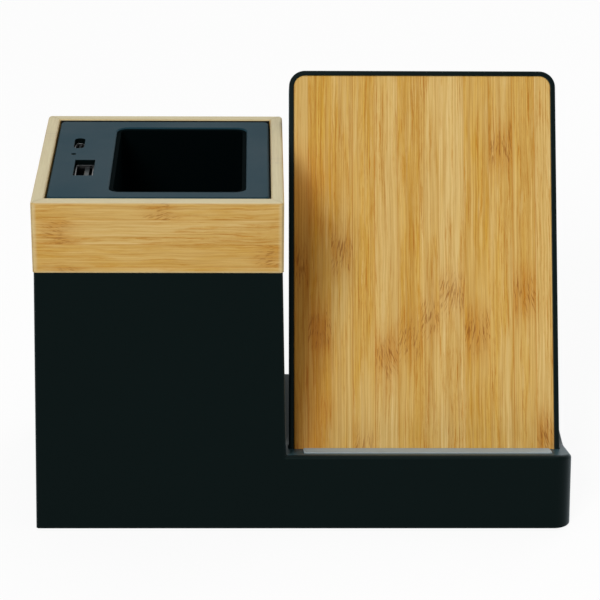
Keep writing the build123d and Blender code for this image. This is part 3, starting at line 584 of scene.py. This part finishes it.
def alongX(tree, vector):
    x, y, z = splitXyz(tree, vector)
    return joinXyz(tree, z, product(tree, x, collarLook["shortening"]), y)


def alongY(tree, vector):
    x, y, z = splitXyz(tree, vector)
    return joinXyz(tree, z, product(tree, y, collarLook["shortening"]), x)


def finishCollar(tree, colour, vector):
    look = collarLook
    up = faceUp(tree)
    wall = fade(tree, up, *look["wallSlope"])
    colour = mixColour(tree, look["calm"], colour, look["meanColour"])
    colour = mixColour(tree, 1.0, colour, look["tone"], "MULTIPLY")
    # Painted highlight: faces that look up are made paler, for the overhead light and sheen on them
    colour = mixColour(tree, smoothMask(tree, up, *look["paintedTopSlope"]), colour,
                       look["paintedTopLight"])
    reach = []                            # metres in from the collar's outside, on each axis
    for place, low, high in zip(splitXyz(tree, vector), collarLow, collarHigh):
        reach.append(calc(tree, "MINIMUM", calc(tree, "SUBTRACT", place, low),
                          calc(tree, "SUBTRACT", high, place)))
    # A fine dark line where two boards meet on top
    mitre = calc(tree, "ABSOLUTE", calc(tree, "SUBTRACT", reach[0], reach[1]))
    mitre = product(tree, smoothMask(tree, mitre, *look["mitre"]),
                    calc(tree, "SUBTRACT", 1.0, wall))
    colour = mixColour(tree, mitre, colour, bambooTones["Dark"])
    # Sanding left paler bands: broad down the corners, narrow along the top and the foot
    corner = fade(tree, calc(tree, "MAXIMUM", reach[0], reach[1]), *look["cornerBand"])
    level = fade(tree, reach[2], *look["levelBand"])
    patchy = noiseValue(tree, vector, look["bandWaves"])
    patchy = smoothMask(tree, patchy, *look["bandPatches"])
    band = calc(tree, "MAXIMUM", corner, level)
    band = product(tree, band, look["bandShare"], patchy, wall)
    colour = mixColour(tree, band, colour, look["bandColour"])
    # Painted shade: the inside faces sit in the dark gap round the panel, so they are made near
    # black
    inside = calc(tree, "MINIMUM", reach[0], reach[1])
    inside = calc(tree, "GREATER_THAN", inside, look["boardInside"])
    return mixColour(tree, product(tree, inside, wall), colour, look["paintedGapShade"])


lensLook = {
    "refraction": 1.45,
    "coat": 0.6,
    "waves": 900.0,
    "deep": (0.012, 0.02, 0.02, 1),
    "hazy": (0.03, 0.045, 0.045, 1),
    "roughness": (0.3, 0.7, 0.1, 0.2),
}


def lensMaterial():
    look = lensLook
    material, tree, shader = startMaterial("smokedLens", IOR=look["refraction"],
                                           Coat_Weight=look["coat"])
    haze = noiseValue(tree, objectVector(tree), look["waves"])
    feed(tree, shader, Base_Color=mixColour(tree, haze, look["deep"], look["hazy"]),
         Roughness=smoothMask(tree, haze, *look["roughness"]))
    return material


materials = {name: mouldedMaterial(name) for name in mouldedLooks}
materials.update({name: metalMaterial(name) for name in metalLooks})
# The plate's bamboo carries a painted shadow along its left edge
materials["plateBamboo"] = bambooMaterial("plateBamboo", plateLook, upTheStand,
                                          plateLook["seed"], paintShadeOnLeftEdge)
boards = (("front", alongX), ("right", alongY), ("back", alongX), ("left", alongY))
for turn, (side, placePattern) in enumerate(boards):
    name = side + "BoardBamboo"
    seed = collarLook["seed"] + collarLook["seedStep"] * turn
    materials[name] = bambooMaterial(name, collarLook, placePattern, seed, finishCollar)
materials["smokedLens"] = lensMaterial()
print("materials ready:", len(materials))

finishes = {
    "housingPlastic": ("main_housing", "stand_frame", "stand_rear_cover", "bottom_cover"),
    "linerPlastic": ("pen_cup",),
    "panelPlastic": ("top_panel",),
    "frontBoardBamboo": ("collar_front",),
    "backBoardBamboo": ("collar_back",),
    "leftBoardBamboo": ("collar_left",),
    "rightBoardBamboo": ("collar_right",),
    "plateBamboo": ("bamboo_face",),
    "stripSilicone": ("ledge_pad",),
    "footRubber": ("rubber_feet",),
    "socketSteel": ("usb_a_shell",),
    "socketNickel": ("usb_c_shell",),
    "inletSteel": ("inlet_shell",),
    "socketMoulding": ("usb_a_tongue", "usb_c_tongue", "inlet_tongue"),
    "contactGold": ("usb_a_contacts", "usb_c_contacts"),
    "screwZinc": ("panel_screws", "hub_board_screws", "stand_screws", "bottom_cover_screws",
                  "main_board_screws"),
    "boardLacquer": ("hub_board", "main_board"),
    "chipMoulding": ("hub_chips", "controller_chips"),
    "plugNylon": ("status_led", "hub_cable_plugs"),
    "smokedLens": ("light_pipe",),
    "coilCopper": ("charging_coil", "coil_leads"),
    "ferriteCeramic": ("ferrite_sheet", "power_inductor"),
    "capacitorCeramic": ("tank_capacitors",),
    "cableJacket": ("hub_cable",),
}

for finish, nodes in finishes.items():
    for node in nodes:
        mesh = cadNodes[node].data
        mesh.materials.clear()
        mesh.materials.append(materials[finish])
print("finishes given to", sum(map(len, finishes.values())), "of", len(cadNodes), "nodes")


# Pieces that repeat or wind, made by Geometry Nodes

def startShape(name, inputs):
    tree = bpy.data.node_groups.new(name, "GeometryNodeTree")
    addInputs(tree, [("Geometry", "Geometry", None), *inputs, ("Material", "Material", None)])
    tree.interface.new_socket("Geometry", in_out="OUTPUT", socket_type="NodeSocketGeometry")
    return tree, addNode(tree, "NodeGroupInput").outputs


def finishShape(tree, given, geometry, creaseAngle):
    # Smooth faces with sharp edges kept, then one plain mesh with its material
    smooth = addNode(tree, "GeometryNodeSetShadeSmooth", {0: geometry}, domain="FACE").outputs[0]
    angle = addNode(tree, "GeometryNodeInputMeshEdgeAngle").outputs[0]
    sharp = calc(tree, "GREATER_THAN", angle, math.radians(creaseAngle))
    inputs = {0: smooth, "Selection": sharp, "Shade Smooth": False}
    creased = addNode(tree, "GeometryNodeSetShadeSmooth", inputs, domain="EDGE").outputs[0]
    whole = addNode(tree, "GeometryNodeRealizeInstances", {0: creased}).outputs[0]
    inputs = {0: whole, "Material": given["Material"]}
    painted = addNode(tree, "GeometryNodeSetMaterial", inputs).outputs[0]
    addNode(tree, "NodeGroupOutput", {0: painted})
    return tree


def onPoints(tree, points, instance, **more):
    inputs = {"Points": points, "Instance": instance, **more}
    return addNode(tree, "GeometryNodeInstanceOnPoints", inputs).outputs[0]


def cylinder(tree, **sizes):
    inputs = {label.replace("_", " "): value for label, value in sizes.items()}
    return addNode(tree, "GeometryNodeMeshCylinder", inputs).outputs[0]


def raised(tree, geometry, height):
    inputs = {0: geometry, "Translation": joinXyz(tree, 0, 0, height)}
    return addNode(tree, "GeometryNodeTransform", inputs).outputs[0]


def ownPlace(tree):
    return splitXyz(tree, addNode(tree, "GeometryNodeInputPosition").outputs[0])


def reshaped(tree, geometry, share, x, y, z):
    # Narrows every point in plan by its share and sets its height
    place = joinXyz(tree, product(tree, x, share), product(tree, y, share), z)
    return addNode(tree, "GeometryNodeSetPosition", {0: geometry, "Position": place}).outputs[0]


def runShape(tree, name, points, values):
    # The tree works on a few starting points; only the plain mesh that it makes is kept
    seeds = bpy.data.meshes.new(name + "Points")
    seeds.from_pydata([tuple(point) for point in points], [], [])
    holder = bpy.data.objects.new(name + "Source", seeds)
    bpy.context.scene.collection.objects.link(holder)
    modifier = holder.modifiers.new("shape", "NODES")
    modifier.node_group = tree
    for item in tree.interface.items_tree:
        if item.in_out == "INPUT" and item.name in values:
            modifier[item.identifier] = values[item.name]
    holder.update_tag()
    bpy.context.view_layer.update()
    evaluated = holder.evaluated_get(bpy.context.evaluated_depsgraph_get())
    made = bpy.data.meshes.new_from_object(evaluated)
    bpy.data.objects.remove(holder)
    piece = bpy.data.objects.new(name, made)
    bpy.context.scene.collection.objects.link(piece)
    return piece


def putOn(piece, slot, *nodes):
    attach(piece, "root")
    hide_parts(*nodes)
    print("piece", piece.name, "faces", len(piece.data.polygons), "stands for", *nodes)


def cornerPlaces(node, radius, z):
    # Middles of the round things at the corners of a node's box
    low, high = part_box(node)
    xs = sorted({round(low.x + radius, 6), round(high.x - radius, 6)})
    ys = sorted({round(low.y + radius, 6), round(high.y - radius, 6)})
    return [Vector((x, y, z)) for x in xs for y in ys]


screwShape = {
    "headSides": 32,
    "headRows": 5,                        # of faces down its side
    "headRings": 2,                       # of faces on its top and bottom
    "shankSides": 16,
    "crownStart": 0.35,                   # share of the head's height, where it starts to narrow
    "crownFall": 0.75,
    "crossWide": 1.15,                    # shares of the head's radius
    "crossNarrow": 0.26,
    "crossDrop": 0.9,                     # share of the head's height
    "core": 0.8,                          # share of the shank's radius
    "ringHeight": 0.6,                    # shares of the thread's pitch
    "firstRing": 0.7,
    "creaseAngle": 35,
}


def makeCrossScrew():
    # Pan head below the seat at Z = 0 with a cross recess, ringed shank above it
    shape = screwShape
    tree, given = startShape("crossScrew", [
        ("Head Radius", "Float", 0.0025), ("Head Height", "Float", 0.0013),
        ("Shank Radius", "Float", 0.00125), ("Length", "Float", 0.007),
        ("Thread Pitch", "Float", 0.0008), ("Flip", "Float", 0.0), ("Seed", "Int", 1)])
    radius, height = given["Head Radius"], given["Head Height"]
    length, pitch = given["Length"], given["Thread Pitch"]
    head = cylinder(tree, Vertices=shape["headSides"], Side_Segments=shape["headRows"],
                    Fill_Segments=shape["headRings"], Radius=radius, Depth=height)
    head = raised(tree, head, product(tree, height, -0.5))
    x, y, z = ownPlace(tree)
    depth = calc(tree, "DIVIDE", z, product(tree, height, -1.0))     # 0 at the seat, 1 at the crown
    crown = calc(tree, "MAXIMUM", calc(tree, "SUBTRACT", depth, shape["crownStart"]), 0.0)
    share = calc(tree, "SUBTRACT", 1.0, product(tree, crown, crown, shape["crownFall"]))
    head = reshaped(tree, head, share, x, y, z)
    recess = addNode(tree, "GeometryNodeMeshBoolean", operation="DIFFERENCE", solver="MANIFOLD")
    tree.links.new(head, recess.inputs["Mesh 1"])
    wide = product(tree, radius, shape["crossWide"])
    narrow = product(tree, radius, shape["crossNarrow"])
    for size in ((wide, narrow), (narrow, wide)):
        size = joinXyz(tree, *size, height)
        bar = addNode(tree, "GeometryNodeMeshCube", {"Size": size}).outputs[0]
        bar = raised(tree, bar, product(tree, height, -shape["crossDrop"]))
        tree.links.new(bar, recess.inputs["Mesh 2"])
    core = product(tree, given["Shank Radius"], shape["core"])
    shank = cylinder(tree, Vertices=shape["shankSides"], Radius=core, Depth=length)
    shank = raised(tree, shank, product(tree, length, 0.5))
    count = calc(tree, "FLOOR", calc(tree, "DIVIDE", length, pitch))
    inputs = {"Count": calc(tree, "SUBTRACT", count, 1.0), "Offset": joinXyz(tree, 0, 0, pitch)}
    spots = addNode(tree, "GeometryNodeMeshLine", inputs, mode="OFFSET").outputs[0]
    ring = addNode(tree, "GeometryNodeMeshCone", {
        "Vertices": shape["shankSides"], "Radius Top": core,
        "Radius Bottom": given["Shank Radius"],
        "Depth": product(tree, pitch, shape["ringHeight"])}).outputs[0]
    thread = raised(tree, onPoints(tree, spots, ring), product(tree, pitch, shape["firstRing"]))
    screw = addNode(tree, "GeometryNodeJoinGeometry")
    for part in (recess.outputs["Mesh"], shank, thread):
        tree.links.new(part, screw.inputs[0])
    inputs = {"Seed": given["Seed"], 2: 0.0, 3: math.pi}
    spin = addNode(tree, "FunctionNodeRandomValue", inputs, data_type="FLOAT").outputs[1]
    screws = onPoints(tree, given["Geometry"], screw.outputs[0],
                      Rotation=joinXyz(tree, given["Flip"], 0, spin))
    return finishShape(tree, given, screws, shape["creaseAngle"])


largeScrew = {"Head Radius": 0.0025, "Head Height": 0.0013, "Shank Radius": 0.00122,
              "Length": 0.0069}
coverScrew = dict(largeScrew, Length=0.0055)
smallScrew = {"Head Radius": 0.0017, "Head Height": 0.0011, "Shank Radius": 0.00088,
              "Length": 0.0045, "Thread Pitch": 0.0006}
screwSets = {
    "panel_screws": (largeScrew, False),
    "stand_screws": (largeScrew, False),
    "bottom_cover_screws": (coverScrew, False),
    "hub_board_screws": (smallScrew, False),
    "main_board_screws": (smallScrew, True),               # these point down
}
crossScrew = makeCrossScrew()
for seed, (node, (sizes, down)) in enumerate(screwSets.items()):
    low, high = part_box(node)
    seat = high.z - sizes["Head Height"] if down else low.z + sizes["Head Height"]
    values = dict(sizes, Seed=seed, Flip=math.pi if down else 0.0, Material=materials["screwZinc"])
    places = cornerPlaces(node, sizes["Head Radius"], seat)
    piece = runShape(crossScrew, node.replace("screws", "screw_set"), places, values)
    putOn(piece, "screw_steel", node)


coilShape = {
    "stepsPerTurn": 40,
    "wireSides": 8,
    "creaseAngle": 60,
}


def makeCoilWinding():
    # Flat spiral of round wire, turned into the stand's plane
    tree, given = startShape("coilWinding", [
        ("Turns", "Float", 9.0), ("Inner Radius", "Float", 0.0106),
        ("Outer Radius", "Float", 0.0214), ("Wire Radius", "Float", 0.00058),
        ("Turn", "Vector", (0, 0, 0))])
    spiral = addNode(tree, "GeometryNodeCurveSpiral", {
        "Resolution": coilShape["stepsPerTurn"], "Rotations": given["Turns"],
        "Start Radius": given["Inner Radius"], "End Radius": given["Outer Radius"],
        "Height": 0.0}).outputs[0]
    inputs = {"Resolution": coilShape["wireSides"], "Radius": given["Wire Radius"]}
    wire = addNode(tree, "GeometryNodeCurvePrimitiveCircle", inputs, mode="RADIUS").outputs[0]
    inputs = {"Curve": spiral, "Profile Curve": wire, "Fill Caps": True}
    coil = addNode(tree, "GeometryNodeCurveToMesh", inputs).outputs[0]
    inputs = {0: coil, "Rotation": given["Turn"]}
    coil = addNode(tree, "GeometryNodeTransform", inputs).outputs[0]
    coil = onPoints(tree, given["Geometry"], coil)
    return finishShape(tree, given, coil, coilShape["creaseAngle"])


coilSizes = {"Turns": 9.0, "Inner Radius": 0.0106, "Outer Radius": 0.0214,
             "Wire Radius": 0.00058, "Turn": (standAngle, 0, 0)}
coilLow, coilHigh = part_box("charging_coil")
coil = runShape(makeCoilWinding(), "coil_winding", [(coilLow + coilHigh) / 2],
                dict(coilSizes, Material=materials["coilCopper"]))
putOn(coil, "copper", "charging_coil")


soleShape = {
    "sides": 48,
    "rows": 3,                            # of faces down its side
    "rings": 14,                          # of faces on its sole
    "grooves": 7,
    "grooved": 0.86,                      # share of the radius that has grooves
    "rim": 0.98,                          # share of the radius where the rim turns in
    "rimTurn": 0.03,                      # share that the rim turns in by
    "soleHeight": 0.00001,                # metres: points below this lie on the sole
    "creaseAngle": 50,
}


def makeFoot():
    # Low disc whose sole is grooved in rings and turned in a little at its rim
    shape = soleShape
    tree, given = startShape("ringedFoot", [
        ("Radius", "Float", 0.006), ("Height", "Float", 0.0019), ("Groove Depth", "Float", 0.0004)])
    disc = cylinder(tree, Vertices=shape["sides"], Side_Segments=shape["rows"],
                    Fill_Segments=shape["rings"], Radius=given["Radius"], Depth=given["Height"])
    disc = raised(tree, disc, product(tree, given["Height"], 0.5))
    x, y, z = ownPlace(tree)
    reach = addNode(tree, "ShaderNodeVectorMath", {0: joinXyz(tree, x, y, 0.0)},
                    operation="LENGTH").outputs["Value"]
    share = calc(tree, "DIVIDE", reach, given["Radius"])
    sole = calc(tree, "LESS_THAN", z, shape["soleHeight"])
    wave = calc(tree, "SINE", product(tree, share, shape["grooves"] * math.pi))
    groove = product(tree, calc(tree, "ABSOLUTE", wave),
                     calc(tree, "LESS_THAN", share, shape["grooved"]), given["Groove Depth"])
    rim = product(tree, calc(tree, "GREATER_THAN", share, shape["rim"]), shape["rimTurn"])
    narrower = calc(tree, "SUBTRACT", 1.0, product(tree, rim, sole))
    lifted = calc(tree, "ADD", z, product(tree, groove, sole))
    foot = reshaped(tree, disc, narrower, x, y, lifted)
    feet = onPoints(tree, given["Geometry"], foot)
    return finishShape(tree, given, feet, shape["creaseAngle"])


footSizes = {"Radius": 0.006, "Height": 0.0019, "Groove Depth": 0.00035}
feet = runShape(makeFoot(), "ringed_feet", cornerPlaces("rubber_feet", footSizes["Radius"], 0.0),
                dict(footSizes, Material=materials["footRubber"]))
putOn(feet, "foot_rubber", "rubber_feet")
print("winding, screws and feet ready")


# Camera, floor and light

cameraLook = {
    "lens": 155.07,                       # millimetres
    "sensor": 36,
    "place": (-0.015847, -0.780127, 0.403295),
    "turn": (66.418, -0.464, -0.874),     # degrees
}
camera = bpy.data.objects.new("camera", bpy.data.cameras.new("camera"))
camera.data.lens = cameraLook["lens"]
camera.data.sensor_width = cameraLook["sensor"]
camera.location = cameraLook["place"]
camera.rotation_euler = [math.radians(angle) for angle in cameraLook["turn"]]
bpy.context.scene.collection.objects.link(camera)
bpy.context.scene.camera = camera
bpy.context.scene.view_settings.view_transform = "Standard"

studio = {
    "floorSize": 6.0,
    "floorColour": (0.96, 0.96, 0.96, 1),
    "floorDarkest": 0.98,                 # share of that colour in the paper's darkest fibres
    "floorWaves": 300.0,
    "floorGlow": 0.91,                    # share of plain white in the floor as the camera sees it
    "skyStrength": 0.3,
    "aim": (0, 0, 0.05),                  # where every lamp points
    "keyPower": 13.8,
    "keyPlace": (-0.5, -1.25, 0.95),
    "keySize": 0.5,
    "topPower": 4.0,
    "topPlace": (0.15, 0.1, 1.3),
    "topSize": 0.9,
    "rearPower": 5.0,
    "rearPlace": (0.75, 1.15, 1.05),
    "rearSize": 0.8,
}


def seenDirectly(tree):
    # 1 for what the camera sees straight, in a mirror or through glass
    rays = addNode(tree, "ShaderNodeLightPath").outputs
    seen = calc(tree, "MAXIMUM", rays["Is Camera Ray"], rays["Is Glossy Ray"])
    return calc(tree, "MAXIMUM", seen, rays["Is Transmission Ray"])


def paperMaterial():
    material = bpy.data.materials.new("paperFloor")
    tree = emptyTree(material)
    colour = studio["floorColour"]
    darkest = [value * studio["floorDarkest"] for value in colour[:3]] + [1]
    fibre = noiseValue(tree, objectVector(tree), studio["floorWaves"])
    tone = mixColour(tree, fibre, darkest, colour)
    paper = addNode(tree, "ShaderNodeBsdfDiffuse", {"Color": tone}).outputs[0]
    glow = addNode(tree, "ShaderNodeEmission", {"Strength": 1.0}).outputs[0]
    share = product(tree, seenDirectly(tree), studio["floorGlow"])
    mixed = addNode(tree, "ShaderNodeMixShader", {0: share, 1: paper, 2: glow}).outputs[0]
    addNode(tree, "ShaderNodeOutputMaterial", {"Surface": mixed})
    return material


def makeFloor():
    half = studio["floorSize"] / 2
    corners = [(-half, -half, 0), (half, -half, 0), (half, half, 0), (-half, half, 0)]
    mesh = bpy.data.meshes.new("floor")
    mesh.from_pydata(corners, [], [(0, 1, 2, 3)])
    mesh.materials.append(paperMaterial())
    floor = bpy.data.objects.new("floor", mesh)
    bpy.context.scene.collection.objects.link(floor)
    return floor


def makeLamp(name, power, place, size):
    lamp = bpy.data.lights.new(name, "AREA")
    lamp.energy = power
    lamp.size = size
    holder = bpy.data.objects.new(name, lamp)
    holder.location = place
    sight = Vector(studio["aim"]) - Vector(place)
    holder.rotation_euler = sight.to_track_quat("-Z", "Y").to_euler()
    bpy.context.scene.collection.objects.link(holder)
    return holder


def lightSky():
    world = bpy.data.worlds.new("studioSky")
    bpy.context.scene.world = world
    tree = emptyTree(world)
    strength = calc(tree, "MAXIMUM", seenDirectly(tree), studio["skyStrength"])
    inputs = {"Color": (1, 1, 1, 1), "Strength": strength}
    sky = addNode(tree, "ShaderNodeBackground", inputs).outputs[0]
    addNode(tree, "ShaderNodeOutputWorld", {"Surface": sky})


lightSky()
makeFloor()
makeLamp("keyLamp", studio["keyPower"], studio["keyPlace"], studio["keySize"])
makeLamp("topLamp", studio["topPower"], studio["topPlace"], studio["topSize"])
makeLamp("rearLamp", studio["rearPower"], studio["rearPlace"], studio["rearSize"])
print("studio ready")
